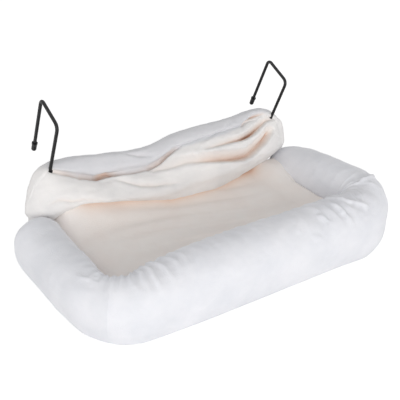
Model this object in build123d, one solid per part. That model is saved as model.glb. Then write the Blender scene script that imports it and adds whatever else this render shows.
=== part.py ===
from build123d import *
import math
import os

# Hook-on plush bed for a cage rail, standing on the floor with its hook frame leaning forward.
# Millimetres, +Z up, front edge of the bed towards -Y, origin under the middle of its box.

# Driving dimensions of the whole bed
bed_width = 450.0
bed_depth = 262.0
bolster_width = 72.0
bolster_height = 80.0
corner_bend = 39.0
bolster_end_gap = 56.0
pad_thickness = 42.0
skin_thickness = 2.5
soft_gap = 0.3
filling_gap = 0.6
flat_cut = 0.5
corner_seam_gap = 0.4

# Wire frame
wire = 4.0
tube_outer = 6.0
tube_bore = 4.1
running_gap = 0.05
rail_height = 6.5
rail_inset = 8.0
frame_corner = 14.0
frame_clearance = 2.0

# Hook frame, as it stands when it is folded upright, and its lean at rest
hook_outset = 9.5
lean = 20.6
tube_length = 109.0
shank_rise = 174.4
hook_reach = 42.1
reach_rise = 5.4
hook_drop = 76.0
shank_seat_gap = 0.3
shoulder_bend = 7.5
peak_bend = 5.5
top_rail_rise = 95.0

# Flattened and drilled lower end of each tube
eye_thickness = 2.0
eye_width = 9.4
eye_taper_start = 5.5
eye_taper_end = 15.0
bore_floor = 1.5

# Vinyl hook tips and pivot caps
tip_outer = 6.0
tip_length = 12.0
tip_lip = 6.8
tip_lip_length = 1.6
tip_wall = 1.2
cap_outer = 8.4
cap_length = 5.0
cap_wall = 1.2
cap_grip = 3.6

# Underside cloth
underside_thickness = 1.5
wall_height = 41.0
wall_thickness = 2.2
wall_corner = 12.0
wall_clearance = 6.0

# Back panel and hem
panel_inset = 33.0
hem_depth = 22.0
tunnel_gap = 0.4
hem_gap = 1.8
cut_overrun = 30.0

half_width = bed_width / 2
half_depth = bed_depth / 2
arm_x = half_width - bolster_width / 2
front_y = -half_depth + bolster_width / 2
bolster_rear_y = half_depth - bolster_end_gap
inner_x = half_width - bolster_width
inner_y = -half_depth + bolster_width
pivot_y = half_depth - rail_inset
panel_half_width = half_width - panel_inset
hook_x = inner_x + hook_outset

parts = {}


def lean_forward(shape):
    """Turns a piece of the hook frame from upright to its lean at rest, about the rear rail."""
    return shape.rotate(Axis((0, pivot_y, rail_height), (1, 0, 0)), lean)


def rod(start, end, radius):
    """Straight round bar between two points."""
    run = Vector(*end) - Vector(*start)
    plane = Plane(origin=start, z_dir=run)
    return extrude(plane * Circle(radius), run.length)


# Bolster

# Width of the flat foot, as a share of the stuffed tube's width
foot_share = 0.62


def bolster_section(plane, width, height, inset):
    """Closed outline of the stuffed tube: half-round crown, sides drawn in below it, and a flat foot."""
    half = width / 2 - inset
    low = inset - flat_cut
    high = height - inset
    side_z = high - half
    drop = side_z - low
    foot = foot_share * half
    centre = (half**2 - foot**2 - drop**2) / (2 * (half - foot))
    sweep_angle = math.asin(drop / (half - centre)) / 2
    lower_x = centre + (half - centre) * math.cos(sweep_angle)
    lower_z = side_z - (half - centre) * math.sin(sweep_angle)
    crown = half * math.sin(math.pi / 4)
    edges = [
        Line((-foot, low), (foot, low)),
        ThreePointArc((foot, low), (lower_x, lower_z), (half, side_z)),
        ThreePointArc((half, side_z), (crown, side_z + crown), (0, high)),
        ThreePointArc((0, high), (-crown, side_z + crown), (-half, side_z)),
        ThreePointArc((-half, side_z), (-lower_x, lower_z), (-foot, low)),
    ]
    return plane * make_face(edges)


def across(x, y, heading):
    """Upright plane across the bolster's centre line, which runs along heading in degrees."""
    turn = math.radians(heading)
    ahead = (math.cos(turn), math.sin(turn), 0)
    aside = (-math.sin(turn), math.cos(turn), 0)
    return Plane(origin=(x, y, 0), x_dir=aside, z_dir=ahead)


corner_x = arm_x - corner_bend
corner_y = front_y + corner_bend

# Swell of the side bolster at stations from its rear end to the corner: place along the straight
# run, share of the full width and share of the full height
side_stations = (
    (0.0, 0.40, 0.52),
    (0.07, 0.76, 0.82),
    (0.22, 0.95, 0.96),
    (0.6, 1.0, 1.0),
    (1.0, 0.98, 0.98),
)
# The same along the front bolster, from corner to corner
front_stations = (
    (0.0, 0.97, 0.98),
    (0.2, 1.0, 0.99),
    (0.5, 1.0, 1.0),
    (0.8, 1.0, 0.99),
    (1.0, 0.97, 0.98),
)
corner_width_share = 0.96
corner_height_share = 0.97
corner_angle = 45.0


def side_bolster(inset):
    """Left bolster from its rounded rear end to the mitred seam in the front corner."""
    start_y = bolster_rear_y - inset
    run = start_y - corner_y
    stations = []
    for place, wide, high in side_stations:
        plane = across(-arm_x, start_y - place * run, -90)
        stations.append(bolster_section(plane, wide * bolster_width, high * bolster_height, inset))
    seam_inset = math.degrees((corner_seam_gap / 2 + inset) / corner_bend)
    for angle in (corner_angle / 2, corner_angle - seam_inset):
        turn = math.radians(angle)
        x = -corner_x - corner_bend * math.cos(turn)
        y = corner_y - corner_bend * math.sin(turn)
        plane = across(x, y, -90 + angle)
        width = corner_width_share * bolster_width
        stations.append(bolster_section(plane, width, corner_height_share * bolster_height, inset))
    return loft(stations)


def front_bolster(inset):
    """Front bolster between the two mitred corner seams."""
    seam_inset = math.degrees((corner_seam_gap / 2 + inset) / corner_bend)
    stations = []
    for side in (-1, 1):
        bends = []
        for angle in (corner_angle + seam_inset, corner_angle + corner_angle / 2):
            turn = math.radians(angle)
            x = side * (corner_x + corner_bend * math.cos(turn))
            y = corner_y - corner_bend * math.sin(turn)
            heading = -90 + angle if side < 0 else 90 - angle
            plane = across(x, y, heading)
            width = corner_width_share * bolster_width
            bends.append(bolster_section(plane, width, corner_height_share * bolster_height, inset))
        if side < 0:
            stations.extend(bends)
            for place, wide, high in front_stations:
                plane = across(-corner_x + 2 * place * corner_x, front_y, 0)
                stations.append(bolster_section(plane, wide * bolster_width, high * bolster_height, inset))
        else:
            stations.extend(reversed(bends))
    return loft(stations)


def above_floor(solid):
    """Cuts a soft form flat where it stands on the floor."""
    below = Box(2 * bed_width, 2 * bed_depth, bolster_height, align=(Align.CENTER, Align.CENTER, Align.MAX))
    return solid - below


def stuffed(name, form):
    """Cover and filling of one bolster: the cover is hollow and the filling lies inside it."""
    parts["bolster_cover_" + name] = above_floor(form(0)) - form(skin_thickness)
    parts["bolster_filling_" + name] = form(skin_thickness + filling_gap)


stuffed("left", side_bolster)
stuffed("front", front_bolster)
for piece in ("cover", "filling"):
    parts[f"bolster_{piece}_right"] = parts[f"bolster_{piece}_left"].mirror(Plane.YZ)

# Sleeping pad

lining_thickness = 2.4
pad_crease_height = 30.0
pad_corner = 26.0
pad_front = inner_y + soft_gap
pad_rear = pivot_y - eye_width / 2 - 2 * soft_gap
pad_middle_y = (pad_front + pad_rear) / 2
pad_half_x = inner_x - soft_gap
pad_half_y = (pad_rear - pad_front) / 2
pad_floor = underside_thickness + soft_gap

# Height and inset of the pad's rounded-rectangle layers, as shares of its thickness and corner
pad_layers = ((0.0, 0.20), (0.22, 0.06), (0.5, 0.0), (0.78, 0.04), (0.93, 0.30), (1.0, 0.95))


def pad_form(shrink, floor, top):
    """Pillow form: rounded rectangles stacked from the floor of the pad to its crown."""
    layers = []
    for up_share, in_share in pad_layers:
        inset = shrink + in_share * pad_corner
        outline = RectangleRounded(2 * (pad_half_x - inset), 2 * (pad_half_y - inset), pad_corner)
        layers.append(Pos(0, pad_middle_y, floor + up_share * (top - floor)) * outline)
    return loft(layers)


lining_outer = pad_form(0, pad_floor, pad_thickness)
lining_inner = pad_form(lining_thickness, pad_floor - lining_thickness, pad_thickness - lining_thickness)
below_lining = Pos(0, pad_middle_y, 0) * Box(
    bed_width, bed_depth, pad_crease_height, align=(Align.CENTER, Align.CENTER, Align.MIN)
)
parts["sleeping_pad_lining"] = lining_outer - lining_inner - below_lining
wadding_inset = lining_thickness + soft_gap
parts["sleeping_pad_wadding"] = pad_form(wadding_inset, pad_floor, pad_thickness - wadding_inset)

# Base cover: underside cloth, turned up round the back of the bed between the bolsters' ends

foot_inner = (1 - foot_share) * bolster_width / 2
under_half_x = inner_x + foot_inner - 2 * soft_gap - underside_thickness
under_front = inner_y - foot_inner + 2 * soft_gap + underside_thickness
under_corner = under_half_x - corner_x
wall_front = bolster_rear_y + 2 * soft_gap
wall_half_x = hook_x + eye_thickness / 2 + soft_gap + cap_length + wall_clearance + wall_thickness


def slab(half_x, start_y, end_y, height, front_corner, back_corner):
    """Flat block on the floor with rounded front and back corners."""
    block = Pos(0, start_y, 0) * Box(
        2 * half_x, end_y - start_y, height, align=(Align.CENTER, Align.MIN, Align.MIN)
    )
    upright = block.edges().filter_by(Axis.Z)
    if front_corner > 0:
        block = fillet(upright.sort_by(Axis.Y)[:2], front_corner)
    upright = block.edges().filter_by(Axis.Z)
    if back_corner > 0:
        block = fillet(upright.sort_by(Axis.Y)[-2:], back_corner)
    return block


underside = slab(under_half_x, under_front, wall_front + wall_corner, underside_thickness, under_corner, 0)
tray = slab(wall_half_x, wall_front, half_depth, wall_height, 0, wall_corner)
inside = slab(
    wall_half_x - wall_thickness,
    wall_front - cut_overrun,
    half_depth - wall_thickness,
    wall_height + cut_overrun,
    0,
    wall_corner - wall_thickness,
)
parts["base_cover"] = underside + (tray - Pos(0, 0, underside_thickness) * inside)

# Base frame, bent from one wire, its ends coped to the rear rail

frame_x = inner_x + frame_clearance
frame_y = inner_y - frame_clearance
frame_path = FilletPolyline(
    (-frame_x, pivot_y, rail_height),
    (-frame_x, frame_y, rail_height),
    (frame_x, frame_y, rail_height),
    (frame_x, pivot_y, rail_height),
    radius=frame_corner,
)
frame_wire = sweep(Plane(origin=frame_path @ 0, z_dir=frame_path % 0) * Circle(wire / 2), frame_path)
rail_end_x = hook_x + eye_thickness / 2 + soft_gap + cap_grip
rail_ends = ((-rail_end_x, pivot_y, rail_height), (rail_end_x, pivot_y, rail_height))
parts["base_frame"] = frame_wire - rod(*rail_ends, wire / 2 + running_gap)
parts["rear_rail"] = rod(*rail_ends, wire / 2)


def revolved(profile, axis_start, axis_dir):
    """Turns a closed outline in the XZ plane about Z, then stands it at a place along a direction."""
    solid = revolve(Plane.XZ * make_face(Polyline(*profile, close=True)), Axis.Z)
    return Plane(origin=axis_start, z_dir=axis_dir) * solid


# Pivot caps, pushed on the ends of the rear rail
cap_chamfer = 0.8
bore_r = wire / 2 + running_gap
cap_r = cap_outer / 2
cap_profile = (
    (bore_r, 0),
    (cap_r, 0),
    (cap_r, cap_length - cap_chamfer),
    (cap_r - cap_chamfer, cap_length),
    (0, cap_length),
    (0, cap_length - cap_wall),
    (bore_r, cap_length - cap_wall),
)
for side, name in ((-1, "left"), (1, "right")):
    start = (side * (hook_x + eye_thickness / 2 + soft_gap), pivot_y, rail_height)
    parts["pivot_cap_" + name] = revolved(cap_profile, start, (side, 0, 0))


# Hook frame, built upright over the rear rail and then leaned forward


def upright_tube(x):
    """Round tube, pressed flat at the bottom and drilled as an eye round the rear rail."""
    base = Vector(x, pivot_y, rail_height)
    top = base + Vector(0, 0, tube_length)
    taper_end = base + Vector(0, 0, eye_taper_end)
    taper_start = base + Vector(0, 0, eye_taper_start)
    tube = rod(taper_end, top, tube_outer / 2)
    round_end = Plane(origin=taper_end) * Circle(tube_outer / 2)
    flat_end = Plane(origin=taper_start) * Rectangle(eye_thickness, eye_width)
    taper = loft([flat_end, round_end])
    paddle = Pos(base) * Box(
        eye_thickness, eye_width, eye_taper_start, align=(Align.CENTER, Align.CENTER, Align.MIN)
    )
    half_eye = Vector(eye_thickness / 2, 0, 0)
    disc = rod((base - half_eye), (base + half_eye), eye_width / 2)
    hole = rod((base - 2 * half_eye), (base + 2 * half_eye), bore_r)
    bore = rod((taper_end + Vector(0, 0, bore_floor)), (top + Vector(0, 0, wire)), tube_bore / 2)
    return tube + taper + paddle + disc - hole - bore


def hook(x):
    """Hook bent from one wire: shank in the tube, reach over the rail, and drop leg."""
    base = Vector(x, pivot_y, rail_height)
    rise = math.radians(reach_rise)
    peak_y = hook_reach * math.cos(rise)
    peak_z = shank_rise + hook_reach * math.sin(rise)
    points = [
        base + Vector(0, 0, eye_taper_end + bore_floor + shank_seat_gap),
        base + Vector(0, 0, shank_rise),
        base + Vector(0, peak_y, peak_z),
        base + Vector(0, peak_y, peak_z - hook_drop + tip_wall),
    ]
    path = FilletPolyline(*points, radius=(shoulder_bend, peak_bend))
    bar = sweep(Plane(origin=path @ 0, z_dir=path % 0) * Circle(wire / 2), path)
    return bar, points[-1] - Vector(0, 0, tip_wall)


# Hook tip: dipped vinyl with a domed end and a thicker lip where the dip stops
tip_r = tip_outer / 2
lip_r = tip_lip / 2


def hook_tip(end):
    """Tip pushed up the drop leg from its lower end."""
    dome = tip_r * math.sin(math.pi / 4)
    outline = [
        Line((0, 0), (0, tip_wall)),
        Line((0, tip_wall), (bore_r, tip_wall)),
        Line((bore_r, tip_wall), (bore_r, tip_length)),
        Line((bore_r, tip_length), (lip_r, tip_length)),
        Line((lip_r, tip_length), (lip_r, tip_length - tip_lip_length)),
        Line((lip_r, tip_length - tip_lip_length), (tip_r, tip_length - 2 * tip_lip_length)),
        Line((tip_r, tip_length - 2 * tip_lip_length), (tip_r, tip_r)),
        ThreePointArc((tip_r, tip_r), (dome, tip_r - dome), (0, 0)),
    ]
    return Pos(end) * revolve(Plane.XZ * make_face(outline), Axis.Z)


for side, name in ((-1, "left"), (1, "right")):
    parts["upright_tube_" + name] = lean_forward(upright_tube(side * hook_x))
    bar, end = hook(side * hook_x)
    parts["hook_" + name] = lean_forward(bar)
    parts["hook_tip_" + name] = lean_forward(hook_tip(end))

top_rail_z = rail_height + top_rail_rise
top_rail = rod((-hook_x, pivot_y, top_rail_z), (hook_x, pivot_y, top_rail_z), wire / 2)
for side in (-1, 1):
    tube_room = rod(
        (side * hook_x, pivot_y, rail_height),
        (side * hook_x, pivot_y, top_rail_z + cut_overrun),
        tube_outer / 2 + running_gap,
    )
    top_rail = top_rail - tube_room
parts["top_rail"] = lean_forward(top_rail.solids().sort_by(SortBy.VOLUME)[-1])


# Back panel and its hem

lean_turn = math.radians(lean)
rail_y = pivot_y - top_rail_rise * math.sin(lean_turn)
rail_z = rail_height + top_rail_rise * math.cos(lean_turn)


# Radius and reach of the way through the cloth: round the eye, the tube and the hook's shank
tunnel_steps = (
    (eye_width / 2 + tunnel_gap, eye_taper_end),
    (tube_outer / 2 + tunnel_gap, tube_length + tunnel_gap),
    (wire / 2 + tunnel_gap, shank_rise),
)


def tunnels(solid):
    """Clears the two leaning tubes and hooks out of a cloth solid."""
    for side in (-1, 1):
        eye = Vector(side * hook_x, pivot_y, rail_height)
        for radius, reach in tunnel_steps:
            solid = solid - lean_forward(rod(eye, eye + Vector(0, 0, reach), radius))
    return solid


# Stations along the hem and the panel, from left to right: place as a share of the panel's half
# width; the hem's half depth, height above the rail, depth below it, backward shift and lift of its
# widest line, in shares of hem_depth; the panel's foremost reach in front of its top edge, depth of
# the crease between its two folds and reach of its foot, in shares of hem_depth; the crease's height
# up the front and the foot's lift off the pad, in shares of their rise; the swell of the upper and
# the lower fold, in shares of their chords; and the size of the panel's whole section as a share
cloth_stations = (
    (-1.0, 0.3, 0.2, 0.3, 0.0, 0.1, 0.5, 0.0, 0.0, 0.48, 0.4, 0.2, 0.25, 0.4),
    (-0.93, 0.3, 0.36, 0.3, 0.0, 0.1, 0.66, 0.0, 0.0, 0.48, 0.44, 0.2, 0.25, 0.86),
    (-0.86, 0.60, 0.86, 0.34, 0.0, 0.3, 0.8, 0.0, 0.05, 0.48, 0.5, 0.2, 0.28, 1.0),
    (-0.66, 0.72, 0.87, 0.36, 0.26, 0.08, 0.96, 0.0, 0.2, 0.48, 0.44, 0.2, 0.28, 1.0),
    (-0.44, 0.74, 0.70, 0.48, 0.3, -0.12, 1.02, 0.0, 0.3, 0.5, 0.26, 0.2, 0.26, 1.0),
    (-0.22, 0.74, 0.50, 0.48, 0.3, -0.12, 1.1, 0.14, 0.42, 0.64, 0.05, 0.2, 0.26, 1.0),
    (0.02, 0.74, 0.82, 0.38, 0.3, 0.1, 1.1, 0.22, 0.75, 0.82, 0.0, 0.16, 0.18, 1.0),
    (0.24, 0.74, 1.0, 0.3, 0.3, 0.24, 1.12, 0.36, 0.8, 0.7, 0.0, 0.27, 0.24, 1.0),
    (0.48, 0.74, 1.12, 0.3, 0.3, 0.28, 1.12, 0.64, 0.66, 0.48, 0.0, 0.4, 0.38, 1.0),
    (0.66, 0.72, 1.2, 0.3, 0.22, 0.3, 1.08, 0.66, 0.5, 0.5, 0.08, 0.4, 0.38, 1.0),
    (0.82, 0.62, 1.1, 0.32, 0.0, 0.3, 0.86, 0.4, 0.22, 0.66, 0.28, 0.36, 0.34, 1.0),
    (0.93, 0.3, 0.4, 0.3, 0.0, 0.1, 0.66, 0.1, 0.0, 0.6, 0.4, 0.25, 0.28, 0.86),
    (1.0, 0.3, 0.2, 0.3, 0.0, 0.1, 0.5, 0.0, 0.0, 0.6, 0.4, 0.2, 0.25, 0.4),
)
# Where the panel's top edges lie below the hem's widest line, as a share of the hem's depth there
edge_share = 0.4
# The back of the panel: the heights of its lower and upper bends, and how far the upper one leans in
back_low_share = 0.28
back_high_share = 0.56
back_lean_share = 0.14
back_swell_share = 0.12
# Middle of the small rounded sections at the panel's two ends, as shares of hem_depth from the rail
end_back_share = 0.25
end_drop_share = 1.15
panel_seat = pad_thickness + 2 * soft_gap
panel_low = panel_seat - flat_cut


def cloth_plane(x):
    """Upright plane across the bed, in which the sections of the hem and the panel are drawn."""
    return Plane(origin=(x, 0, 0), x_dir=(0, 1, 0), z_dir=(1, 0, 0))


def hem_section(x, half, above, below, back, lift):
    """Loose rounded fold of plush round the top rail."""
    y = rail_y + back
    z = rail_z + lift
    rise = above - lift
    drop = below + lift
    bulge = math.sin(math.pi / 4)
    edges = [
        ThreePointArc((y - half, z), (y - bulge * half, z + bulge * rise), (y, z + rise)),
        ThreePointArc((y, z + rise), (y + bulge * half, z + bulge * rise), (y + half, z)),
        ThreePointArc((y + half, z), (y + bulge * half, z - bulge * drop), (y, z - drop)),
        ThreePointArc((y, z - drop), (y - bulge * half, z - bulge * drop), (y - half, z)),
    ]
    return cloth_plane(x) * make_face(edges)


def swollen(start, end, share):
    """Arc between two points that swells to the left of its run by a share of its chord."""
    run_y = end[0] - start[0]
    run_z = end[1] - start[1]
    middle = ((start[0] + end[0]) / 2 - share * run_z, (start[1] + end[1]) / 2 + share * run_y)
    return ThreePointArc(start, middle, end)


def panel_section(x, half, below, back, lift, folds, size):
    """Slumped cloth over the back of the pad: a trough under the hem, and two folds in front."""
    reach, crease_depth, foot_reach, crease_rise, foot_lift, upper_swell, lower_swell = folds
    trough_y = rail_y + back
    edge_z = rail_z + lift - edge_share * (below + lift) - hem_gap
    front = trough_y - half - hem_gap / 2
    rear = trough_y + half + hem_gap / 2
    height = edge_z - panel_seat
    foot = (front - foot_reach, panel_low + foot_lift * height)
    crease = (front - reach + crease_depth, foot[1] + crease_rise * (edge_z - foot[1]))
    corners = {
        "front": (front, edge_z),
        "floor": (trough_y, rail_z - below - hem_gap),
        "rear": (rear, edge_z),
        "high": (half_depth - back_lean_share * height, panel_seat + back_high_share * height),
        "low": (half_depth, panel_seat + back_low_share * height),
        "heel": (half_depth - soft_gap, panel_low),
        "foot": foot,
        "crease": crease,
    }
    centre_y = rail_y + end_back_share * hem_depth
    centre_z = rail_z - end_drop_share * hem_depth
    for name, (y, z) in corners.items():
        corners[name] = (centre_y + size * (y - centre_y), centre_z + size * (z - centre_z))
    edges = [
        ThreePointArc(corners["front"], corners["floor"], corners["rear"]),
        swollen(corners["rear"], corners["high"], back_swell_share),
        ThreePointArc(corners["high"], corners["low"], corners["heel"]),
        Line(corners["heel"], corners["foot"]),
        swollen(corners["foot"], corners["crease"], lower_swell),
        swollen(corners["crease"], corners["front"], upper_swell),
    ]
    return cloth_plane(x) * make_face(edges)


hem_sections = []
panel_sections = []
for row in cloth_stations:
    place = row[0]
    half, above, below, back, lift = (share * hem_depth for share in row[1:6])
    folds = [share * hem_depth for share in row[6:9]] + list(row[9:13])
    panel_sections.append(panel_section(place * panel_half_width, half, below, back, lift, folds, row[13]))
    if abs(place) < 1:
        hem_sections.append(hem_section(place * panel_half_width, half, above, below, back, lift))
rail_tunnel = rod((-hook_x, rail_y, rail_z), (hook_x, rail_y, rail_z), wire / 2 + tunnel_gap)
below_seat = Pos(0, 0, panel_seat) * Box(
    bed_width, 2 * bed_depth, bolster_height, align=(Align.CENTER, Align.CENTER, Align.MAX)
)
cloths = {"rail_casing": loft(hem_sections) - rail_tunnel, "back_panel": loft(panel_sections) - below_seat}
for name, cloth in cloths.items():
    parts[name] = tunnels(cloth).solids().sort_by(SortBy.VOLUME)[-1]

os.makedirs("parts", exist_ok=True)
for name, shape in parts.items():
    export_step(shape, os.path.join("parts", name + ".step"))
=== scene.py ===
import math

import bmesh
import bpy
import numpy as np
from mathutils import Matrix, Vector, noise


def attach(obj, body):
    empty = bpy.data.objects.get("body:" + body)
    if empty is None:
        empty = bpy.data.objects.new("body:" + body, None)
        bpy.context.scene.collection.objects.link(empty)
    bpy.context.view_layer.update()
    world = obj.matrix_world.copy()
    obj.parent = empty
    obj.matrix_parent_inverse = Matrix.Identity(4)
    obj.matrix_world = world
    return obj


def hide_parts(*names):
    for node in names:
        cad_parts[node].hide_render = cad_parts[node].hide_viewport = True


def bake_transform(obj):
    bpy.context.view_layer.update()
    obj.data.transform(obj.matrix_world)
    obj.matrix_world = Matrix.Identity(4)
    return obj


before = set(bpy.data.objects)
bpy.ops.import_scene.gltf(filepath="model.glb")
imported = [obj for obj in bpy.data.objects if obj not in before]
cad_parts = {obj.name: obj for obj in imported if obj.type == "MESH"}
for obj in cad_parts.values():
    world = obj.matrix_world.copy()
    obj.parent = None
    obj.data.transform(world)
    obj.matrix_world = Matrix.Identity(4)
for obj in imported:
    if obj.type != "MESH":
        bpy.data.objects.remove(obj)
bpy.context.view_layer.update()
scene = bpy.context.scene
scene.view_settings.view_transform = "Standard"

# Camera, set up as the photograph was taken: from the front left, a little above the bed, with a
# long lens close to the bed. Metres and degrees.

camera_place = Vector((-0.48032, -0.59725, 0.47320))
camera_yaw = math.radians(37.98)
camera_pitch = math.radians(27.92)
camera_roll = math.radians(3.93)
camera_data = bpy.data.cameras.new("photo_camera")
camera_data.sensor_width = 36.0
camera_data.lens = 66.05
camera = bpy.data.objects.new("photo_camera", camera_data)
scene.collection.objects.link(camera)
turn = Matrix.Rotation(-camera_yaw, 4, "Z") @ Matrix.Rotation(math.pi / 2 - camera_pitch, 4, "X")
camera.matrix_world = Matrix.Translation(camera_place) @ turn @ Matrix.Rotation(camera_roll, 4, "Z")
scene.camera = camera

# Steel frame: one 4 mm wire bent round the bed and a straight rear rail of the same wire, two 6 mm
# tubes pressed flat and drilled round that rail, a top rail across them, and two bent wire hooks that
# push down into the tubes. All powder coated black before it was put together.

millimetre = 0.001
rubbed_patch = 0.012


def linear(hex_colour):
    """Turns an sRGB hex colour into the linear RGBA that the shader sockets take."""
    channels = [int(hex_colour[i : i + 2], 16) / 255 for i in (1, 3, 5)]
    lit = [c / 12.92 if c <= 0.04045 else ((c + 0.055) / 1.055) ** 2.4 for c in channels]
    return (*lit, 1.0)


def add_node(tree, kind, inputs=None, **settings):
    """Adds a shader node, sets its properties, and gives each named input a value or a link."""
    made = tree.nodes.new(kind)
    for name, value in settings.items():
        setattr(made, name, value)
    for socket, value in (inputs or {}).items():
        if isinstance(value, bpy.types.NodeSocket):
            tree.links.new(value, made.inputs[socket])
        else:
            made.inputs[socket].default_value = value
    return made


def new_material(name):
    """Empty node material with its output node."""
    material = bpy.data.materials.new(name)
    material.use_nodes = True
    material.node_tree.nodes.clear()
    output = add_node(material.node_tree, "ShaderNodeOutputMaterial")
    return material, material.node_tree, output


def coated_material(name, base_hex, roughness, grain, relief):
    """Black finish on steel: a thin skin with a fine orange peel, its grain given in metres, rubbed a
    little smoother in patches."""
    material, tree, output = new_material(name)
    place = add_node(tree, "ShaderNodeTexCoord")
    rubbed = add_node(
        tree,
        "ShaderNodeTexNoise",
        {"Vector": place.outputs["Object"], "Scale": 1 / rubbed_patch, "Detail": 2.0},
    )
    gloss = add_node(
        tree,
        "ShaderNodeMapRange",
        {
            "Value": rubbed.outputs["Fac"],
            "From Min": 0.3,
            "From Max": 0.7,
            "To Min": roughness - 0.07,
            "To Max": roughness + 0.07,
        },
    )
    peel = add_node(
        tree, "ShaderNodeTexNoise", {"Vector": place.outputs["Object"], "Scale": 1 / grain, "Detail": 1.0}
    )
    skin = add_node(
        tree, "ShaderNodeBump", {"Height": peel.outputs["Fac"], "Strength": relief, "Distance": 0.0003}
    )
    shader = add_node(
        tree,
        "ShaderNodeBsdfPrincipled",
        {
            "Base Color": linear(base_hex),
            "Roughness": gloss.outputs["Result"],
            "Normal": skin.outputs["Normal"],
            "Specular IOR Level": 0.4,
        },
    )
    tree.links.new(shader.outputs["BSDF"], output.inputs["Surface"])
    return material


# Powder coat is satin, with soft long highlights and a peel of 0.8 mm; dipped vinyl is a thicker and
# smoother skin, with slow ripples 2 mm across
powder_coat = coated_material("black_powder_coat", "#0E0E10", 0.42, 0.0008, 0.25)
dipped_vinyl = coated_material("black_dipped_vinyl", "#0B0B0C", 0.34, 0.0020, 0.12)


def coat(nodes, material):
    """Gives CAD nodes, shown as they are, their real finish."""
    for name in nodes:
        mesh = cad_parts[name].data
        mesh.materials.clear()
        mesh.materials.append(material)


coat(("base_frame", "rear_rail", "top_rail", "hook_left", "hook_right"), powder_coat)
coat(("upright_tube_left", "upright_tube_right"), powder_coat)
coat(("hook_tip_left", "hook_tip_right"), dipped_vinyl)

# Push-on caps on the ends of the rear rail: pressed from sheet steel and zinc plated, which leaves a
# pale bluish grey with faint draw marks round the cap.

mark_width = 0.0004
mark_length = 0.004

zinc_plate, tree, output = new_material("zinc_plated_steel")
place = add_node(tree, "ShaderNodeTexCoord")
stretched = add_node(
    tree,
    "ShaderNodeMapping",
    {"Vector": place.outputs["Object"], "Scale": (1 / mark_width, 1 / mark_length, 1 / mark_length)},
)
draw_marks = add_node(
    tree, "ShaderNodeTexNoise", {"Vector": stretched.outputs["Vector"], "Scale": 1.0, "Detail": 2.0}
)
plate_gloss = add_node(
    tree, "ShaderNodeMapRange", {"Value": draw_marks.outputs["Fac"], "To Min": 0.24, "To Max": 0.42}
)
shader = add_node(
    tree,
    "ShaderNodeBsdfPrincipled",
    {"Base Color": linear("#B9BCC0"), "Metallic": 1.0, "Roughness": plate_gloss.outputs["Result"]},
)
tree.links.new(shader.outputs["BSDF"], output.inputs["Surface"])
coat(("pivot_cap_left", "pivot_cap_right"), zinc_plate)

# Base cover: plain woven polyester under the bed, sewn to the bolsters and turned up at the back into
# a low wall round the rear rail. Its slack makes the wall wavy.


def piece_from(bm, name, material, body):
    """Makes the finished mesh an object in the scene, smooth shaded, riding on its body if it has one."""
    bmesh.ops.recalc_face_normals(bm, faces=bm.faces)
    for face in bm.faces:
        face.smooth = True
    mesh = bpy.data.meshes.new(name)
    bm.to_mesh(mesh)
    bm.free()
    mesh.materials.append(material)
    piece = bpy.data.objects.new(name, mesh)
    scene.collection.objects.link(piece)
    if body:
        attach(piece, body)
    return piece


cover_half_x = 0.177
cover_front = -0.072
cover_rear = 0.131
wall_front = 0.0775
wall_top = 0.041
wall_corner = 0.012
cloth_thickness = 0.0011
cloth_clearance = 0.0002

# Plain weave is matt, with a faint thread and slightly darker slubs. Threads are about 0.35 mm apart,
# drawn at 0.9 mm so that they show. The wave node draws a little over three bands for each unit of
# its scale.
thread_spacing = 0.0009
bands_per_scale = 3.1415
slub_length = 0.018

woven, tree, output = new_material("plain_woven_polyester")
place = add_node(tree, "ShaderNodeTexCoord")
threads_at = {"Vector": place.outputs["Object"], "Scale": 1 / thread_spacing / bands_per_scale}
warp = add_node(tree, "ShaderNodeTexWave", threads_at, bands_direction="X")
weft = add_node(tree, "ShaderNodeTexWave", threads_at, bands_direction="DIAGONAL")
threads = add_node(
    tree, "ShaderNodeMath", {0: warp.outputs["Fac"], 1: weft.outputs["Fac"]}, operation="MULTIPLY"
)
weave_bump = add_node(
    tree, "ShaderNodeBump", {"Height": threads.outputs["Value"], "Strength": 0.25, "Distance": 0.0003}
)
slubs = add_node(
    tree,
    "ShaderNodeTexNoise",
    {"Vector": place.outputs["Object"], "Scale": 1 / slub_length, "Detail": 3.0},
)
cloth_colour = add_node(
    tree,
    "ShaderNodeMix",
    {"Factor": slubs.outputs["Fac"], 6: linear("#E6E4E3"), 7: linear("#F1F0EF")},
    data_type="RGBA",
)
shader = add_node(
    tree,
    "ShaderNodeBsdfPrincipled",
    {
        "Base Color": cloth_colour.outputs[2],
        "Roughness": 0.85,
        "Normal": weave_bump.outputs["Normal"],
        "Specular IOR Level": 0.25,
    },
)
tree.links.new(shader.outputs["BSDF"], output.inputs["Surface"])

bm = bmesh.new()
bmesh.ops.create_cube(bm, size=1.0)
bmesh.ops.scale(bm, vec=(2 * cover_half_x, cover_rear - cover_front, wall_top), verts=bm.verts)
bmesh.ops.translate(bm, vec=(0, (cover_rear + cover_front) / 2, wall_top / 2), verts=bm.verts)
upright = [edge for edge in bm.edges if abs(edge.verts[0].co.z - edge.verts[1].co.z) > 0.01]
bmesh.ops.bevel(
    bm,
    geom=upright,
    offset=wall_corner,
    offset_type="OFFSET",
    affect="EDGES",
    segments=6,
    profile=0.5,
    material=-1,
)
bmesh.ops.delete(bm, geom=[face for face in bm.faces if face.normal.z > 0.5], context="FACES")

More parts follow.
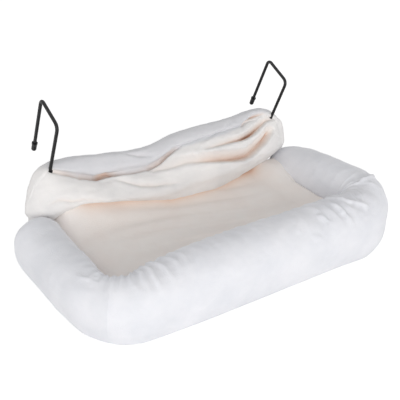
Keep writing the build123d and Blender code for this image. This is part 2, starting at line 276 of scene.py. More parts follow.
# Cut across into small faces, front to back, side to side and up the wall
across_bed = np.linspace(cover_front + 0.01, cover_rear - wall_corner - 0.001, 14).tolist() + [wall_front]
along_bed = np.linspace(-cover_half_x + wall_corner, cover_half_x - wall_corner, 29)
up_wall = np.linspace(0, wall_top, 9)[1:-1]
cuts = [((0, place, 0), (0, 1, 0)) for place in across_bed]
cuts += [((place, 0, 0), (1, 0, 0)) for place in along_bed]
cuts += [((0, 0, place), (0, 0, 1)) for place in up_wall]
for point, facing in cuts:
    bmesh.ops.bisect_plane(
        bm, geom=bm.verts[:] + bm.edges[:] + bm.faces[:], plane_co=point, plane_no=facing, dist=1e-6
    )
in_front = [f for f in bm.faces if abs(f.normal.z) < 0.5 and f.calc_center_median().y < wall_front]
bmesh.ops.delete(bm, geom=in_front, context="FACES")
for vert in bm.verts:
    share = vert.co.z / wall_top
    slack = 4 * share * (1 - share)
    wave = noise.noise(Vector((vert.co.x * 38, vert.co.y * 30, vert.co.z * 22)))
    gather = math.sin(vert.co.x * 260 + 4 * wave)
    if share > 0.01:
        sideways = vert.co.x / cover_half_x if abs(vert.co.x) > cover_half_x - wall_corner else 0
        backward = 1 if vert.co.y > cover_rear - wall_corner + 0.001 else 0
        outward = Vector((sideways, backward, 0))
        vert.co += outward * (-0.0005 + (0.0013 * wave + 0.0006 * gather) * slack)
        vert.co.z += 0.0016 * wave * share
bmesh.ops.recalc_face_normals(bm, faces=bm.faces)
bmesh.ops.solidify(bm, geom=bm.faces[:], thickness=cloth_thickness)
for vert in bm.verts:
    vert.co.z = max(vert.co.z, cloth_clearance)
base_cover = piece_from(bm, "woven_base_cover", woven, "bed")
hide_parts("base_cover")

# Plush bolster covers: three tubes of short-pile plush, cut and sewn to each other at mitred corner
# seams and gathered along the inner edge, where they are sewn to the pad. Stuffed with fibre.

bolster_width = 0.072
bolster_height = 0.080
bolster_foot_share = 0.62
arm_x = 0.189
front_y = -0.095
rear_y = 0.081
right_rear_y = 0.091
bend_radius = 0.039
bend_x = arm_x - bend_radius
bend_y = front_y + bend_radius
bolster_clearance = 0.0004

# Patches where the pile leans one way, and the tufts that it stands in: it is about 2 mm long
nap_patch = 0.045
tuft_spacing = 0.0016


def plush_material(name, pile_hex, shade_hex, fold_shading_hex, deep_shading_hex):
    """Short-pile polyester plush: a soft nap that catches the light in patches, with painted grey shade
    where a layer asks for it, and painted warm shade and bounce light inside its folds, standing in for
    the light that goes from pile to pile."""
    material, tree, output = new_material(name)
    place = add_node(tree, "ShaderNodeTexCoord")
    nap = add_node(
        tree,
        "ShaderNodeTexNoise",
        {"Vector": place.outputs["Object"], "Scale": 1 / nap_patch, "Detail": 3.0, "Roughness": 0.6},
    )
    nap_mix = add_node(
        tree, "ShaderNodeMapRange", {"Value": nap.outputs["Fac"], "From Min": 0.35, "From Max": 0.68}
    )
    colour = add_node(
        tree,
        "ShaderNodeMix",
        {"Factor": nap_mix.outputs["Result"], 6: linear(shade_hex), 7: linear(pile_hex)},
        data_type="RGBA",
    )
    # Painted shade: a grey (#CFD0D6) laid over the colour where the mesh's layer asks for it, on the
    # panel's hem and back
    painted_shade_attribute = add_node(tree, "ShaderNodeAttribute", attribute_name="brushed")
    painted_shade_colour = add_node(
        tree,
        "ShaderNodeMix",
        {"Factor": painted_shade_attribute.outputs["Fac"], 6: colour.outputs[2], 7: linear("#CFD0D6")},
        data_type="RGBA",
    )
    # Painted warm shade and bounce light in folds, as strong as the mesh's layer says; the tan ramp is
    # painted shading, not the cloth's own colour
    fold = add_node(tree, "ShaderNodeAttribute", attribute_name="fold_depth")
    fold_shading_colour = add_node(tree, "ShaderNodeValToRGB", {"Fac": fold.outputs["Fac"]})
    for stop, shade in zip(fold_shading_colour.color_ramp.elements, (fold_shading_hex, deep_shading_hex)):
        stop.color = linear(shade)
    painted_warm_shading = add_node(
        tree,
        "ShaderNodeMix",
        {"Factor": fold.outputs["Fac"], 6: painted_shade_colour.outputs[2], 7: fold_shading_colour.outputs["Color"]},
        data_type="RGBA",
    )
    tufts = add_node(
        tree,
        "ShaderNodeTexNoise",
        {"Vector": place.outputs["Object"], "Scale": 1 / tuft_spacing, "Detail": 2.0, "Roughness": 0.55},
    )
    tuft_bump = add_node(
        tree, "ShaderNodeBump", {"Height": tufts.outputs["Fac"], "Strength": 0.35, "Distance": 0.0010}
    )
    shader = add_node(
        tree,
        "ShaderNodeBsdfPrincipled",
        {
            "Base Color": painted_warm_shading.outputs[2],
            "Roughness": 0.95,
            "Normal": tuft_bump.outputs["Normal"],
            "Specular IOR Level": 0.2,
            "Sheen Weight": 0.25,
            "Sheen Roughness": 0.5,
        },
    )
    tree.links.new(shader.outputs["BSDF"], output.inputs["Surface"])
    return material


# Cool white, soft and matt, with a slight sheen at its edges. Its tan pair is painted shade for folds,
# which the bolster meshes carry no layer for.
plush = plush_material("white_plush", "#EFEFF3", "#E6E7EC", "#D6AE98", "#A0715F")


def evenly(points, count):
    """Points at even steps along a closed outline."""
    loop = np.vstack([points, points[:1]])
    steps = np.hypot(*np.diff(loop, axis=0).T)
    run = np.concatenate([[0], np.cumsum(steps)])
    at = np.linspace(0, run[-1], count, endpoint=False)
    return np.column_stack([np.interp(at, run, loop[:, i]) for i in range(2)])


def bolster_outline(count):
    """Section of the stuffed tube, from its crown down the inner side and back up the outer one: flat
    foot, drawn-in sides."""
    half = bolster_width / 2
    side = bolster_height - half
    foot = bolster_foot_share * half
    quarter = np.radians(np.linspace(0, 90, 40))
    crown = [(half * math.sin(a), side + half * math.cos(a)) for a in quarter]
    drawn_in = [(half - (half - foot) * t**2.2, side * (1 - t)) for t in np.linspace(0, 1, 24)[1:]]
    inner = crown + drawn_in
    outer = [(-x, z) for x, z in reversed(inner)]
    bottom = [(x, 0.0) for x in np.linspace(foot, -foot, 16)[1:-1]]
    return evenly(np.array(inner + bottom + outer[:-1]), count)


# Route of the tube from its left rear end round both corners to its right rear end: x, y and heading
# at stations 1.7 mm apart
route = []
step = 0.0017
straight = int((rear_y - bend_y) / step)
corner = int(math.pi / 2 * bend_radius / step)
along_front = int(2 * bend_x / step)
for share in np.linspace(0, 1, straight, endpoint=False):
    route.append((-arm_x, rear_y + (bend_y - rear_y) * share, -90.0))
for share in np.linspace(0, 1, corner, endpoint=False):
    turn = share * math.pi / 2
    sideways, forward = bend_radius * math.cos(turn), bend_radius * math.sin(turn)
    route.append((-bend_x - sideways, bend_y - forward, -90 + 90 * share))
for share in np.linspace(0, 1, along_front, endpoint=False):
    route.append((-bend_x + 2 * bend_x * share, front_y, 0.0))
for share in np.linspace(0, 1, corner, endpoint=False):
    turn = (1 - share) * math.pi / 2
    sideways, forward = bend_radius * math.cos(turn), bend_radius * math.sin(turn)
    route.append((bend_x + sideways, bend_y - forward, 90 * share))
for share in np.linspace(0, 1, straight):
    route.append((arm_x, bend_y + (right_rear_y - bend_y) * share, 90.0))
route = np.array(route)
centres = route[:, :2]
run = np.concatenate([[0], np.cumsum(np.hypot(*np.diff(centres, axis=0).T))]) * 1000
run_end = run[-1]
heading = np.radians(route[:, 2])
aside = np.column_stack([-np.sin(heading), np.cos(heading)])

# Swell of the stuffing along the route: millimetres from the left rear end, then shares of the
# inner half width, the outer half width and the height
swell = np.array(
    (
        (0, 0.74, 0.91, 0.82), (25, 0.70, 0.84, 0.86), (60, 0.64, 0.84, 0.85),
        (105, 0.54, 0.86, 0.84), (135, 0.42, 0.77, 0.84), (156, 0.38, 0.69, 0.84),
        (175, 0.52, 0.75, 0.87), (210, 0.80, 0.85, 0.93), (260, 0.95, 0.92, 0.98),
        (330, 1.0, 0.93, 1.0), (430, 1.0, 0.93, 1.0), (480, 1.0, 0.92, 1.01),
        (500, 1.0, 0.87, 1.01), (516, 1.0, 0.84, 1.02), (530, 1.0, 0.84, 1.06),
        (545, 1.0, 0.90, 1.08), (565, 1.0, 1.03, 1.07), (590, 1.0, 1.02, 1.05),
        (620, 0.98, 1.0, 1.03), (655, 0.90, 1.0, 0.97), (678, 0.76, 0.98, 0.90),
        (692, 0.76, 0.98, 0.82),
    )
)
inner_share, outer_share, height_share = (np.interp(run, swell[:, 0], swell[:, i]) for i in (1, 2, 3))


def rounded_end(distance, reach, power=2.3):
    """Share of the full section at a distance in mm from a stuffed end."""
    share = np.clip(1 - distance / reach, 0, 1)
    return np.maximum(0, 1 - share**power) ** (1 / power)


end_shape = np.minimum(rounded_end(run, 28.0), rounded_end(run_end - run, 18.0))
round_count = 136
outline = bolster_outline(round_count)
girth_step = np.hypot(*(outline[1] - outline[0])) * 1000
girth = np.arange(round_count) * girth_step
girth[round_count // 2 :] -= round_count * girth_step

# The stuffing hangs outwards and low at the right corner, 508 mm along
inward = np.where(outline[:, 0] > 0, 1.0, 0.0)[None, :]
low_side = np.clip((0.044 - outline[None, :, 1]) / 0.03, 0, 1)
low_bulge = 0.16 * np.exp(-(((run - 508) / 26) ** 2))[:, None] * low_side
across = inward * (inner_share - outer_share)[:, None] + outer_share[:, None]
across = across * (1 + low_bulge) * outline[None, :, 0] * end_shape[:, None]
middle = bolster_height * 0.42
tube = np.zeros((len(route), round_count, 3))
tube[:, :, 0] = centres[:, None, 0] + aside[:, None, 0] * across
tube[:, :, 1] = centres[:, None, 1] + aside[:, None, 1] * across
tube[:, :, 2] = middle + (outline[None, :, 1] * height_share[:, None] - middle) * end_shape[:, None]


def surface_normals(points):
    """Outward direction at each point of a tube given as rings."""
    ahead = np.gradient(points, axis=0)
    round_it = np.roll(points, -1, axis=1) - np.roll(points, 1, axis=1)
    out = np.cross(round_it, ahead)
    size = np.linalg.norm(out, axis=2, keepdims=True)
    return out / np.maximum(size, 1e-9)


def lumps(points, size, seed):
    """Soft uneven noise over a tube, from -1 to 1, its lumps about one size in metres across."""
    flat = points.reshape(-1, 3) / size
    values = [noise.noise(Vector(point) + Vector((seed, 0, 0))) for point in flat]
    return np.array(values).reshape(points.shape[:2])


def crease(line, above, below, along, around, puff=0.35):
    """Valley along a line on a tube, with its own width on each side and the cloth puffed up beside it.
    The line gives places along and round the tube and the depth there, in mm."""
    total = np.zeros(np.broadcast(along, around).shape)
    for (s0, c0, d0), (s1, c1, d1) in zip(line, line[1:]):
        ds, dc = s1 - s0, c1 - c0
        t = np.clip(((along - s0) * ds + (around - c0) * dc) / (ds * ds + dc * dc), 0, 1)
        away = np.hypot(along - s0 - t * ds, around - c0 - t * dc)
        side = (around - c0) * ds - (along - s0) * dc
        width = np.where(side < 0, above, below)
        valley = 0.6 * np.exp(-((away / width) ** 1.5)) + 0.4 * np.exp(-2.5 * away / width)
        shape = puff * np.exp(-(((away - 2.1 * width) / (1.2 * width)) ** 2)) - valley
        depth = d0 + (d1 - d0) * t
        total = np.where(np.abs(depth * shape) > np.abs(total), depth * shape, total)
    return total


# Gathers at the sewn inner edge: millimetres along the route, then how high they stand and how far
# they reach past the crown, in mm
gathers = np.array(
    (
        (0, 0.0, 0), (20, 0.5, 0), (60, 0.5, 2), (120, 0.8, 4), (142, 1.4, 8), (152, 2.2, 18),
        (172, 2.6, 26), (200, 2.6, 28), (216, 2.2, 26), (235, 1.5, 16), (290, 1.1, 10),
        (360, 1.0, 12), (400, 1.3, 22), (440, 1.6, 30), (500, 1.5, 24), (540, 1.2, 18),
        (575, 0.7, 6), (640, 0.5, 2), (692, 0.0, 0),
    )
)
gather_height = np.interp(run, gathers[:, 0], gathers[:, 1])[:, None]
gather_reach = np.interp(run, gathers[:, 0], gathers[:, 2])[:, None]
spacing = np.interp(run, (0, 130, 150, 215, 250, 400, 692), (19, 14, 9.0, 10.5, 15, 18, 20))
phase = np.concatenate([[0], np.cumsum(2 * math.pi * np.diff(run) / spacing[1:])])[:, None]
drift = lumps(tube, 0.028, 3.1)
pleat = np.abs(np.cos(phase / 2 + 2.1 * drift + girth[None, :] * 0.004)) ** 0.75
reach = np.clip((girth[None, :] + gather_reach + 14) / 26, 0, 1)
reach = reach * reach * (3 - 2 * reach) * np.clip((100 - girth[None, :]) / 20, 0, 1)
relief = gather_height * reach * (pleat - 0.62) * (1 + 0.5 * lumps(tube, 0.040, 9.7))

# Single creases that run out from the right corner and the left corner: places in mm along the
# route and round the tube from its crown, towards the inside, and depth; then their width
corner_creases = (
    (((455, 22, 0), (463, 13, 2.2), (476, -5, 3.2), (494, -20, 1.8), (502, -28, 0)), 3.2),
    (((450, 6, 0), (455, -8, 2.8), (457, -18, 3.2), (465, -40, 0)), 3.0),
    (((418, -6, 0), (426, -16, 1.6), (438, -31, 0)), 3.6),
    (((514, 20, 0), (500, -2, 1.5), (493, -22, 0.6), (490, -30, 0)), 3.4),
    (((526, 16, 0), (536, 4, 2.8), (548, -16, 3.0), (554, -30, 0)), 3.4),
    (((384, -12, 0), (384, -20, 1.0), (386, -30, 0)), 3.0),
    (((394, -30, 0), (405, -36, 1.0), (420, -42, 0)), 3.2),
    (((153, 4, 0), (150, -12, 1.3), (139, -19, 0.8), (132, -22, 0)), 3.4),
    (((154, -8, 0), (152, -17, 1.2), (150, -26, 0)), 3.0),
)
for line, width in corner_creases:
    relief += crease(line, width, width, run[:, None], girth[None, :])

# Lumps of the stuffing and of the pile, and the corner seams pulled 0.9 mm into the plush
relief += 1.5 * lumps(tube, 0.075, 0.4) + 0.8 * lumps(tube, 0.022, 5.2) + 0.3 * lumps(tube, 0.0065, 1.7)
first_seam = straight + corner // 2
second_seam = straight + corner + along_front + corner // 2
for seam in (first_seam, second_seam):
    relief -= 0.9 * np.exp(-(((run - run[seam]) / 2.2) ** 2))[:, None]
standing = np.clip((tube[:, :, 2] - 0.004) / 0.02, 0, 1) * np.clip(end_shape, 0, 1)[:, None]
tube += surface_normals(tube) * (relief * standing)[:, :, None] * millimetre
tube[:, :, 2] = np.maximum(tube[:, :, 2], bolster_clearance)


def tube_mesh(sections, **layers):
    """Closed tube through rings of points: a grid rolled up, its open ends filled. Each named layer gives
    a value at every point."""
    rows, columns = sections.shape[:2]
    bm = bmesh.new()
    bmesh.ops.create_grid(bm, x_segments=columns, y_segments=rows - 1, size=1)
    made = {name: bm.verts.layers.float.new(name) for name in layers}
    for i, vert in enumerate(bm.verts):
        row, column = divmod(i, columns + 1)
        vert.co = sections[row, column % columns]
        for name, layer in made.items():
            vert[layer] = layers[name][row, column % columns]
    bmesh.ops.remove_doubles(bm, verts=bm.verts, dist=2e-6)
    ends = bmesh.ops.holes_fill(bm, edges=[edge for edge in bm.edges if edge.is_boundary])
    for edge in {edge for face in ends["faces"] for edge in face.edges}:
        edge.smooth = False
    return bm


for name, start, end in (
    ("left", 0, first_seam),
    ("front", first_seam, second_seam),
    ("right", second_seam, len(route) - 1),
):
    cover = piece_from(tube_mesh(tube[start : end + 1]), f"plush_bolster_{name}", plush, "bed")
    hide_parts(f"bolster_cover_{name}", f"bolster_filling_{name}")

# Sleeping pad: fleece lining over quilted wadding, tucked down into the crease round the bolsters and
# sewn to them there. The lining runs up at the back, where the slumped panel lies on it.

# Cream and matt, with painted peach light and shade where light is caught under the panel
fleece = plush_material("cream_fleece", "#FFFAF6", "#FCF4EF", "#FFD3AC", "#D9A07C")
pad_half_x = 0.172
pad_front = -0.072
pad_rear = 0.117
pad_underside = 0.0025

# The tubes swing forward past the pad's rear corners: their axis, and how far forward they lean for
# each metre up at the end of their fold
fold_axis_y = 0.123
tube_sweep_slope = 0.857
tube_inner_x = 0.1545


def smooth_step(value):
    """Eases from 0 to 1 as the value does."""
    t = min(1.0, max(0.0, value))
    return t * t * (3 - 2 * t)


def pad_height(x, y):
    """Height of the lying surface: quilted waves that run up against the right bolster and the slumped
    panel, drawn down in the creases along its seams, and rolled off at the back."""
    waves = 0.0011 * math.sin((y + 0.02 * math.sin(14 * x)) * 250)
    height = 0.0425 + waves * smooth_step((0.14 - abs(x)) / 0.06)
    height += smooth_step((x - 0.120) / 0.032) * (0.008 + 0.005 * smooth_step((y - 0.015) / 0.04))
    left_back = min(1.0, max(0.0, (-0.02 - x) / 0.13)) * smooth_step((y - 0.030) / 0.045)
    height += 0.023 * left_back * smooth_step((0.174 + x) / 0.022)
    height -= 0.010 * math.exp(-(((x + 0.166) / 0.007) ** 2)) * smooth_step((0.070 - y) / 0.03)
    height -= 0.004 * math.exp(-(((x - 0.1545) / 0.003) ** 2)) * smooth_step((0.030 - y) / 0.02)
    height -= 0.004 * math.exp(-(((y + 0.059) / 0.005) ** 2))
    roll = 1 - max(0.0, 1 - (pad_rear - y) / 0.022) ** 2
    height = 0.030 + (height - 0.030) * math.sqrt(max(roll, 0.0))
    under_tubes = (fold_axis_y - y) / tube_sweep_slope - 0.0012
    if abs(x) > tube_inner_x and y > 0.05:
        height = min(height, max(under_tubes, 0.004))
    return height


edge_places = (-150, -85, -37, -15, 27, 72, 110, 150)
edge_depths = (76, 73, 68, 58, 54, 60, 68, 74)


def panel_edge_y(x):
    """Where the lowest edge of the slumped panel crosses the pad."""
    return float(np.interp(x * 1000, edge_places, edge_depths)) / 1000


bm = bmesh.new()
bmesh.ops.create_grid(bm, x_segments=172, y_segments=94, size=1)
painted_warm_layer = bm.verts.layers.float.new("fold_depth")
for vert in bm.verts:
    x = vert.co.x * pad_half_x
    y = pad_front + (vert.co.y + 1) / 2 * (pad_rear - pad_front)
    wrinkle = noise.noise(Vector((x * 14, y * 55, 0.3))) * 0.0008
    in_front = max(0.0, panel_edge_y(x) - y)
    swept_up = 0.0055 * math.exp(-in_front / 0.006) * smooth_step((0.150 - abs(x)) / 0.02)
    vert.co = Vector((x, y, pad_height(x, y) + wrinkle + swept_up))
    behind_line = max(0.0, y - panel_edge_y(x))
    # Painted warm bounce light and shade on the pad, strongest along the panel's lowest edge and gone
    # behind it
    painted_warm_shading = 0.75 * math.exp(-in_front / 0.0055) + 0.12 * math.exp(-in_front / 0.03)
    vert[painted_warm_layer] = painted_warm_shading * math.exp(-behind_line / 0.004) * smooth_step((0.150 - abs(x)) / 0.03)
rim = [edge for edge in bm.edges if edge.is_boundary]
walls = bmesh.ops.extrude_edge_only(bm, edges=rim)["geom"]
for vert in [item for item in walls if isinstance(item, bmesh.types.BMVert)]:
    vert.co.z = pad_underside
bmesh.ops.holes_fill(bm, edges=[edge for edge in bm.edges if edge.is_boundary])
pad = piece_from(bm, "fleece_sleeping_pad", fleece, "bed")
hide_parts("sleeping_pad_lining", "sleeping_pad_wadding")

# Back panel and its hem: one length of doubled plush over the top rail, slumped forward on the pad in
# long soft folds that run together at the right hook. The hem is sewn round the top rail.

# The same plush as the bolsters', seen a little warmer, with painted tan shade deep in its folds
panel_plush = plush_material("panel_plush", "#F1EEEC", "#E6E4E3", "#E9B27C", "#BA7446")

# Top edge of the cloth, the crease under the hem flap and the lowest edge, from left to right: x, y and
# z in mm
top_line = (
    (-193, 88, 66), (-192, 88, 80), (-189, 89, 93), (-182, 90, 104), (-172, 92, 111.5),
    (-158, 94, 115), (-140, 94, 114), (-125, 94, 113.2), (-94, 94, 110.4), (-56, 94, 105.3),
    (-35, 94, 105.5), (-17, 94, 107.7), (9, 94, 113.7), (51, 94, 117.2), (104, 94, 120),
    (130, 93, 124.2), (150, 92, 125.5), (163, 90, 122), (174, 88, 112), (183, 86, 102),
    (188, 85, 96), (191, 85, 90), (192.4, 85, 86), (193, 85, 82.5),
)
flap_line = (
    (-193, 86, 58), (-189, 86, 82), (-182, 85, 96), (-174, 84, 104), (-164, 84, 109),
    (-150, 83, 102), (-133, 82, 96), (-107, 82, 86.5), (-91, 82, 84.5), (-74, 82, 87),
    (-50, 82, 85), (-31, 82, 83.5), (-17, 82, 90), (5, 82, 100), (15, 82, 103), (45, 82, 106),
    (80, 83, 108), (118, 84, 110), (137, 84, 114), (150, 84, 117), (163, 83, 112), (176, 84, 100),
    (186, 84, 88), (193, 84, 82),
)
edge_line = (
    (-193, 84, 50), (-186, 82, 47), (-176, 79, 46), (-166, 77, 48), (-152, 76, 57), (-131, 75, 64),
    (-85, 73, 55), (-60, 71, 49), (-37, 68, 45), (-15, 58, 43.5), (5, 55, 43.5), (27, 54, 43.5),
    (50, 56, 43.5), (72, 60, 43.5), (95, 65, 45), (110, 68, 48), (125, 69, 52), (142, 71, 55),
    (160, 76, 57), (172, 80, 57), (182, 83, 59), (187, 84, 65), (190, 84, 71), (192.4, 84, 77),
    (193, 84, 81),
)
# How far the big fold stands forward, and how far back the cloth goes: x and y in mm
bulge_line = (
    (-193, 84), (-188, 78), (-178, 69), (-160, 62), (-130, 58), (-40, 56), (-15, 52), (60, 52),
    (110, 55), (142, 59), (158, 64), (172, 71), (186, 80), (193, 84.5),
)
rear_line = (
    (-193, 90), (-190, 98), (-185, 105), (-178, 112), (-168, 119), (-155, 125), (-140, 128),
    (0, 129.5), (140, 128), (155, 125), (168, 119), (178, 112), (185, 104), (190, 96), (193, 86),
)

# Stations along the panel, closer together towards the rounded ends
panel_end = 193
cap_start = 178.0
cap_reach = 15.4
cap_steps = np.sin(np.linspace(0, 0.985 * math.pi / 2, 19))[1:]
cap_stations = cap_start + cap_reach * cap_steps
stations = np.concatenate([-cap_stations[::-1], np.linspace(-cap_start, cap_start, 264), cap_stations])


def smooth_line(table, column, passes=6):
    """Value along the panel from a table, rounded off between its rows."""
    rows = np.array(table, float)
    values = np.interp(stations, rows[:, 0], rows[:, column])
    for _ in range(passes):
        values[1:-1] = (values[:-2] + 2 * values[1:-1] + values[2:]) / 4
    return values


def closed_curve(points, count):
    """Smooth closed curve through points, sampled evenly."""
    p = np.array(points, float)
    dense = []
    for i in range(len(p)):
        a, b, c, d = p[i - 1], p[i], p[(i + 1) % len(p)], p[(i + 2) % len(p)]
        for t in np.linspace(0, 1, 16, endpoint=False):
            square = (2 * a - 5 * b + 4 * c - d) * t**2
            cube = (3 * b - a - 3 * c + d) * t**3
            dense.append(0.5 * (2 * b + (c - a) * t + square + cube))
    return evenly(np.array(dense), count)


# Sections from the top edge down the front: over the flap, round the big fold, in under its lowest
# edge, along the pad and up the back. Where the ends lift off the pad, the flap and the tuck run out.
around = 236
rings = []
guides = [smooth_line(line, column) for line in (top_line, flap_line, edge_line) for column in (1, 2)]
guides += [smooth_line(bulge_line, 1), smooth_line(rear_line, 1)]
for x, ty, t, ay, a, ey, e, by, ry in zip(stations, *guides):
    lifted = min(1.0, max(0.0, (x - 174) / 12))
    seat = min(44.0, e) + lifted * max(0.0, e - 2 - min(44.0, e))
    flap = min(1.0, max(0.0, (172 - abs(x)) / 9))
    tucked = min(1.0, max(0.0, (172 - abs(x)) / 8))
    ring = closed_curve(
        [
            (ty, t),
            (ty - 0.55 * (ty - ay), t - 0.12 * (t - a)),
            (ay - 0.5 * flap - 1.5 * (1 - flap), a + 0.45 * (t - a)),
            (ay + 1.0 * flap - 2.0 * (1 - flap), a + 0.5),
            (ay - 3.5 * flap - 2.5 * (1 - flap), a - 1.5),
            (by + 0.45 * (ay - by), a - 0.20 * (a - e)),
            (by, a - 0.58 * (a - e)),
            (by + 0.12 * (ey - by) + 1.0, e + 0.2 * (a - e)),
            (ey, e),
            (ey + 0.25 * (ry - ey), e - 0.15 * (e - seat)),
            (ey + 0.6 * (ry - ey), seat + 0.35 * (e - seat) - 3 * tucked),
            (ry - 2 - 2 * tucked, seat + 1 - 9 * tucked),
            (ry - 0.6 * tucked, seat + 0.10 * (t - seat) - 2 * tucked),
            (ry - 3, seat + 0.40 * (t - seat)),
            (ry - 0.45 * (ry - ty), seat + 0.72 * (t - seat)),
            (ty + 0.22 * (ry - ty), t - 3 * min(1, (ry - ty) / 20)),
        ],
        around,
    )
    ring = np.roll(ring, -int(np.argmax(ring[:, 1])), axis=0)
    if ring[8, 0] > ring[0, 0]:
        ring = np.roll(ring[::-1], 1, axis=0)
    rings.append(ring)
rings = np.array(rings)

# The ends close like a pillow's: each ring past the last full one shrinks on its way out and drops
caps = len(cap_steps)
for base, sign, drop, bluntness in ((caps, -1, -10.0, 1.4), (len(stations) - 1 - caps, 1, -1.0, 1.7)):
    full = rings[base]
    centre = (full.max(axis=0) + full.min(axis=0)) / 2
    for i, u in enumerate(cap_steps, start=1):
        size = (1 - u**bluntness) ** (1 / bluntness)
        rings[base + sign * i] = centre + np.array((-4.0, drop)) * u + (full - centre) * size

# The cloth as points in mm, and the way down from the top edge to each
cloth = np.zeros((len(stations), around, 3))
cloth[:, :, 0] = stations[:, None]
cloth[:, :, 1:] = rings
steps = np.linalg.norm(cloth - np.roll(cloth, 1, axis=1), axis=2).mean(axis=1)
down = np.arange(around)[None, :] * steps[:, None]

# Creases across the front of the panel: x and way down from the top line in mm, and depth; then how
# wide each is above and below, and how strong the painted warm shade in it is
creases = (
    # Under the hem flap, from the left hook to the middle
    (
        (
            (-166, 9, 0), (-160, 15, 2.5), (-143, 21, 4), (-129, 28, 5), (-109, 33, 6.5),
            (-98, 32, 9), (-90, 31, 8.5), (-75, 31.5, 5.5), (-56, 31, 4.5), (-36, 31, 4.5),
            (-24, 29, 5.5), (-13, 25.3, 7), (-1, 22, 5.5), (8, 21, 3), (15, 20, 0),
        ),
        5.0, 2.2, 0.62,
    ),
    # From the middle to the right, where it opens into the broad fold and closes again
    (
        (
            (-39, 34, 0), (-28, 37, 2.5), (-16, 39, 2.5), (-3, 42, 3), (13, 44, 3.5), (29, 47.5, 5),
            (36, 48.8, 7), (52, 52.3, 10), (68, 55.6, 12), (82, 58.7, 13.5), (97, 60.6, 14),
            (109, 60.3, 13), (115, 58, 12), (124, 55, 12), (131, 52, 11), (140, 47.5, 10),
            (149, 41, 8), (154, 37, 4), (157, 34, 0),
        ),
        11.0, 2.6, 0.55,
    ),
    # From the right hook to the left, deepest below the hook
    (
        (
            (34, 34, 0), (50, 34.5, 3.5), (62, 34.6, 5), (83, 34.8, 8), (98, 35.5, 10),
            (110, 35.3, 14.5), (118, 34, 15.5), (125, 32, 14), (133, 28.5, 11), (143, 24, 8),
            (151, 21, 6), (159, 18, 5), (164, 15, 0),
        ),
        5.5, 2.4, 1.0,
    ),
    # Slit at the right end of the broad fold
    (((124, 54, 0), (131, 50.5, 3), (140, 46, 5), (149, 40, 5), (156, 34, 0)), 2.6, 1.8, 0.9),
    # Short slit under the hook
    (
        (
            (108, 22, 0), (118, 14.6, 5), (126, 11.4, 9), (132, 10, 9), (140, 9.3, 6),
            (148, 9.1, 3), (153, 9, 0),
        ),
        3.0, 2.0, 0.8,
    ),
    # Shallow creases on the big fold, the hem and the left end
    (
        (
            (-86, 38, 0), (-79, 41, 2.4), (-67, 46, 3.4), (-56, 50, 4.4), (-34, 56, 4.6),
            (-18, 59, 3.2), (8, 66, 0),
        ),
        4.0, 3.0, 0.12,
    ),
    (
        ((-66, 2, 0), (-52, 7.4, 2.2), (-44, 10.2, 3.2), (-36, 12.2, 2.2), (-24, 15, 0)),
        2.8, 2.4, 0.05,
    ),
    (((98, 3, 0), (93, 7, 2.0), (88, 11, 2.0), (80, 15, 0)), 2.6, 2.6, 0.0),
    (((76, 10, 0), (63, 20, 2.0), (47, 23, 1.8), (38, 25, 0)), 2.6, 2.6, 0.0),
    (
        (
            (-176, 42, 0), (-168, 46, 2.0), (-147, 55, 3.4), (-135, 56, 2.6), (-117, 63, 1.6),
            (-100, 70, 0),
        ),
        2.8, 2.4, 0.15,
    ),
)
fold_depth = np.zeros(cloth.shape[:2])
round_share = np.arange(around) / around
relief = 1.2 * lumps(cloth * (0.001, 0.0022, 0.0022), 0.045, 2.2)
relief += 0.6 * lumps(cloth * (0.001, 0.003, 0.003), 0.018, 6.1)

# Slack folds hang down the back
behind = np.clip((round_share - 0.55) / 0.1, 0, 1) * np.clip((0.93 - round_share) / 0.08, 0, 1)
relief += 2.6 * behind[None, :] * lumps(cloth * (0.0006, 0.002, 0.0032), 0.040, 8.8)
for line, above, below, painted_warm_strength in creases:
    deepest = max(row[2] for row in line)
    valley = crease(line, above, below, stations[:, None], down, 0.15)
    relief += valley
    # Painted warm shade in each crease's hollow, strongest at its bottom
    hollow = np.clip(-valley / deepest, 0, 1) ** (1.0 if above > 10 else 1.5)
    fold_depth = np.maximum(fold_depth, painted_warm_strength * hollow)
end_fade = np.clip((panel_end - np.abs(stations)) / 9, 0, 1)[:, None]
cloth += surface_normals(cloth) * (relief * end_fade)[:, :, None]

# Soften the front once, then raise the pile's own lumps on it
front_half = np.arange(around) < around // 2
smooth = (np.roll(cloth, 1, axis=1) + np.roll(cloth, -1, axis=1)) / 4 + cloth / 2
smooth[1:-1] = smooth[1:-1] / 2 + (smooth[:-2] + smooth[2:]) / 4
cloth[1:-1, front_half] = smooth[1:-1, front_half]
cloth += surface_normals(cloth) * (0.32 * end_fade * lumps(cloth * millimetre, 0.0065, 4.4))[:, :, None]

# Painted grey shade on the hem, down to its flap, and all over the back, less in the folds and towards
# the ends
flap_down = np.interp(
    stations,
    (-170, -143, -109, -56, -24, 0, 30, 80, 108, 126, 150),
    (6, 21, 33, 31, 29, 22, 24, 24, 20, 11, 8),
)[:, None]
on_hem = np.clip((flap_down - down) / 4 + 0.5, 0, 1)
on_back = np.clip(np.arange(around) / 24 - 5.5, 0, 1)[None, :]
away_from_ends = np.clip((176 - np.abs(stations)) / 20, 0, 1)[:, None]
brushed = 0.65 * np.clip(on_hem + on_back, 0, 1) * (1 - fold_depth) * away_from_ends
bm = tube_mesh(cloth * millimetre, fold_depth=fold_depth, brushed=brushed)
panel = piece_from(bm, "plush_back_panel", panel_plush, None)
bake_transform(panel)
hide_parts("back_panel", "rail_casing")

# Floor and light: a plain white floor that keeps a faint shadow, a soft white surround, brightest at
# the floor's level, and one large soft lamp from the front left.

floor_half = 6.0


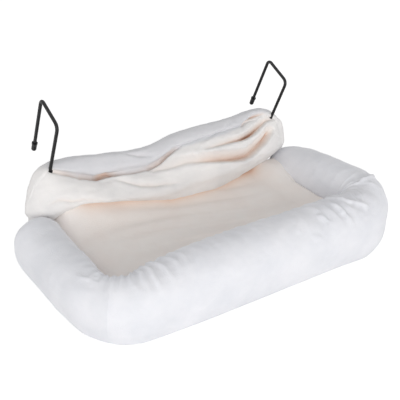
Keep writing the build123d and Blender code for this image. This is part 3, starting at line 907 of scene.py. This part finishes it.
def what_is_seen(tree):
    """1 for rays that show the surroundings, straight to the camera or in metal and glass, and 0 for
    the rays that carry light to the object."""
    rays = add_node(tree, "ShaderNodeLightPath")
    mirrored = add_node(
        tree,
        "ShaderNodeMath",
        {0: rays.outputs["Is Glossy Ray"], 1: rays.outputs["Is Transmission Ray"]},
        operation="MAXIMUM",
    )
    shown = add_node(
        tree,
        "ShaderNodeMath",
        {0: rays.outputs["Is Camera Ray"], 1: mirrored.outputs["Value"]},
        operation="MAXIMUM",
    )
    return shown.outputs["Value"]


# Matt white, lifted to full white only where it is seen
floor_material, tree, output = new_material("white_floor")
matt = add_node(tree, "ShaderNodeBsdfDiffuse", {"Color": linear("#F2F2F2")})
glow = add_node(tree, "ShaderNodeEmission", {"Strength": 0.5})
dark = add_node(tree, "ShaderNodeEmission", {"Strength": 0.0})
seen = add_node(tree, "ShaderNodeMixShader", {"Fac": what_is_seen(tree)})
tree.links.new(dark.outputs["Emission"], seen.inputs[1])
tree.links.new(glow.outputs["Emission"], seen.inputs[2])
both = add_node(tree, "ShaderNodeAddShader")
tree.links.new(matt.outputs["BSDF"], both.inputs[0])
tree.links.new(seen.outputs["Shader"], both.inputs[1])
tree.links.new(both.outputs["Shader"], output.inputs["Surface"])
bm = bmesh.new()
bmesh.ops.create_grid(bm, x_segments=1, y_segments=1, size=floor_half)
floor = piece_from(bm, "floor", floor_material, None)

# White to the eye all round; for the light on the object it is strong low down and weak overhead
world = bpy.data.worlds.new("soft_surround")
world.use_nodes = True
scene.world = world
tree = world.node_tree
tree.nodes.clear()
output = add_node(tree, "ShaderNodeOutputWorld")
place = add_node(tree, "ShaderNodeTexCoord")
height = add_node(tree, "ShaderNodeSeparateXYZ", {"Vector": place.outputs["Generated"]})
level = add_node(
    tree,
    "ShaderNodeMapRange",
    {"Value": height.outputs["Z"], "From Min": 0.0, "From Max": 0.45, "To Min": 1.95, "To Max": 0.52},
)
surround = add_node(
    tree, "ShaderNodeBackground", {"Color": linear("#FFFFFF"), "Strength": level.outputs["Result"]}
)
backdrop = add_node(tree, "ShaderNodeBackground", {"Color": linear("#FFFFFF"), "Strength": 1.0})
blend = add_node(tree, "ShaderNodeMixShader", {"Fac": what_is_seen(tree)})
tree.links.new(surround.outputs["Background"], blend.inputs[1])
tree.links.new(backdrop.outputs["Background"], blend.inputs[2])
tree.links.new(blend.outputs["Shader"], output.inputs["Surface"])

lamp_data = bpy.data.lights.new("softbox", "AREA")
lamp_data.size = 1.4
lamp_data.energy = 17.0
lamp = bpy.data.objects.new("softbox", lamp_data)
scene.collection.objects.link(lamp)
lamp.location = (-0.8, -1.8, 0.28)
lamp.rotation_euler = (Vector((0, 0, 0.05)) - lamp.location).to_track_quat("-Z", "Y").to_euler()
